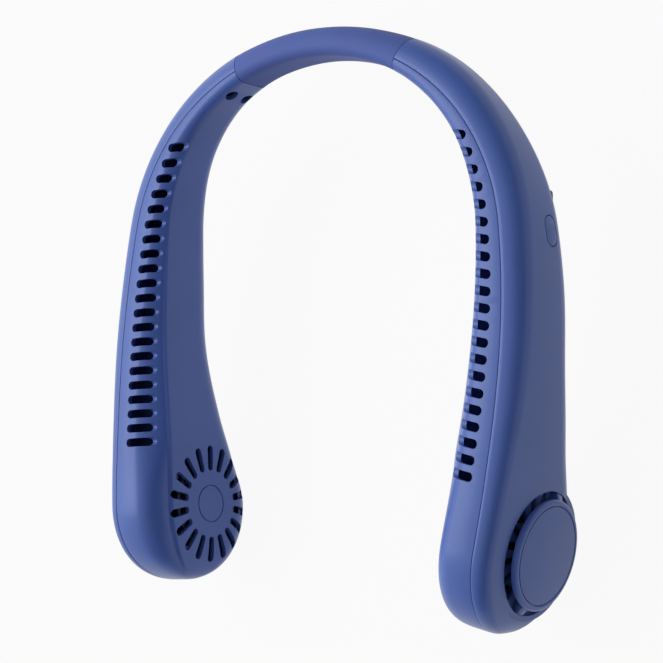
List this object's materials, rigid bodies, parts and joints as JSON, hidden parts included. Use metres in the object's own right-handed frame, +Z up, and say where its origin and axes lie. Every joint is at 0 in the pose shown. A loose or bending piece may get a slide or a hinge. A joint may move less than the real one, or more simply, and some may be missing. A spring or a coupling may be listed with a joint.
{
  "type": "neck fan",
  "caption": "U-shaped neck fan: a soft flexible band joins two hollow arms with air slots; each arm ends in a paddle with a radial intake grille, an impeller and a round cap.",
  "frame": {"origin": "middle of the outline, on the surface that the paddles stand on", "axes": "+X to the wearer's left, +Y to the back of the neck, +Z up to the side with the air slots"},
  "size_m": [0.205, 0.2284, 0.065],
  "materials": {
    "shell": "fine satin",
    "cap": "fine satin",
    "inner_plastic": "satin",
    "silicone": "matte",
    "cable_jacket": "matte",
    "steel": "bright zinc plate",
    "magnet": "dull",
    "bronze": "satin",
    "windings": "enamelled",
    "circuit_board": "solder mask",
    "switch": "satin",
    "cell_can": "shrink wrap"
  },
  "bodies": {
    "band": {"band_sleeve": "silicone", "flex_strip": "steel", "link_cable": "cable_jacket"},
    "left_arm": {"outer_shell_left": "shell", "inner_shell_left": "shell", "band_plug_left": "inner_plastic", "band_screws_left": "steel", "duct_divider_left": "inner_plastic", "battery_left": "cell_can", "intake_cap_left": "cap", "cap_disc_left": "cap", "motor_bearing_left": "bronze", "motor_stator_left": "windings", "motor_base_left": "steel", "shell_screws_left": "steel", "main_board": "circuit_board", "tact_switch": "switch", "usb_port": "steel"},
    "rotor_left": {"impeller_left": "inner_plastic", "rotor_magnet_left": "magnet", "motor_shaft_left": "steel"},
    "right_arm": {"outer_shell_right": "shell", "inner_shell_right": "shell", "band_plug_right": "inner_plastic", "band_screws_right": "steel", "duct_divider_right": "inner_plastic", "battery_right": "cell_can", "intake_cap_right": "cap", "cap_disc_right": "cap", "motor_bearing_right": "bronze", "motor_stator_right": "windings", "motor_base_right": "steel", "shell_screws_right": "steel", "driver_board": "circuit_board"},
    "rotor_right": {"impeller_right": "inner_plastic", "rotor_magnet_right": "magnet", "motor_shaft_right": "steel"},
    "button": {"power_button": "inner_plastic"}
  },
  "joints": [
    {"name": "left_flex", "type": "hinge", "parent": "band", "child": "left_arm", "pos_m": [0.01881, 0.10655, 0.05482], "axis": [0, 0, 1], "range_deg": [-8, 25], "stiffness_Nm_per_rad": 0.6, "deforming": ["band_sleeve", "flex_strip", "link_cable"]},
    {"name": "fan_spin_left", "type": "hinge", "parent": "left_arm", "child": "rotor_left", "pos_m": [0.08238, -0.08206, 0.02828], "axis": [0.9919, -0.1271, 0], "continuous": true},
    {"name": "right_flex", "type": "hinge", "parent": "band", "child": "right_arm", "pos_m": [-0.01881, 0.10655, 0.05482], "axis": [0, 0, -1], "range_deg": [-8, 25], "stiffness_Nm_per_rad": 0.6, "deforming": ["band_sleeve", "flex_strip", "link_cable"]},
    {"name": "fan_spin_right", "type": "hinge", "parent": "right_arm", "child": "rotor_right", "pos_m": [-0.08238, -0.08206, 0.02828], "axis": [-0.9919, -0.1271, 0], "continuous": true},
    {"name": "power_press", "type": "slide", "parent": "left_arm", "child": "button", "axis": [-0.9954, -0.096, 0], "range_m": [0, 0.0008], "stiffness_N_per_m": 400}
  ]
}
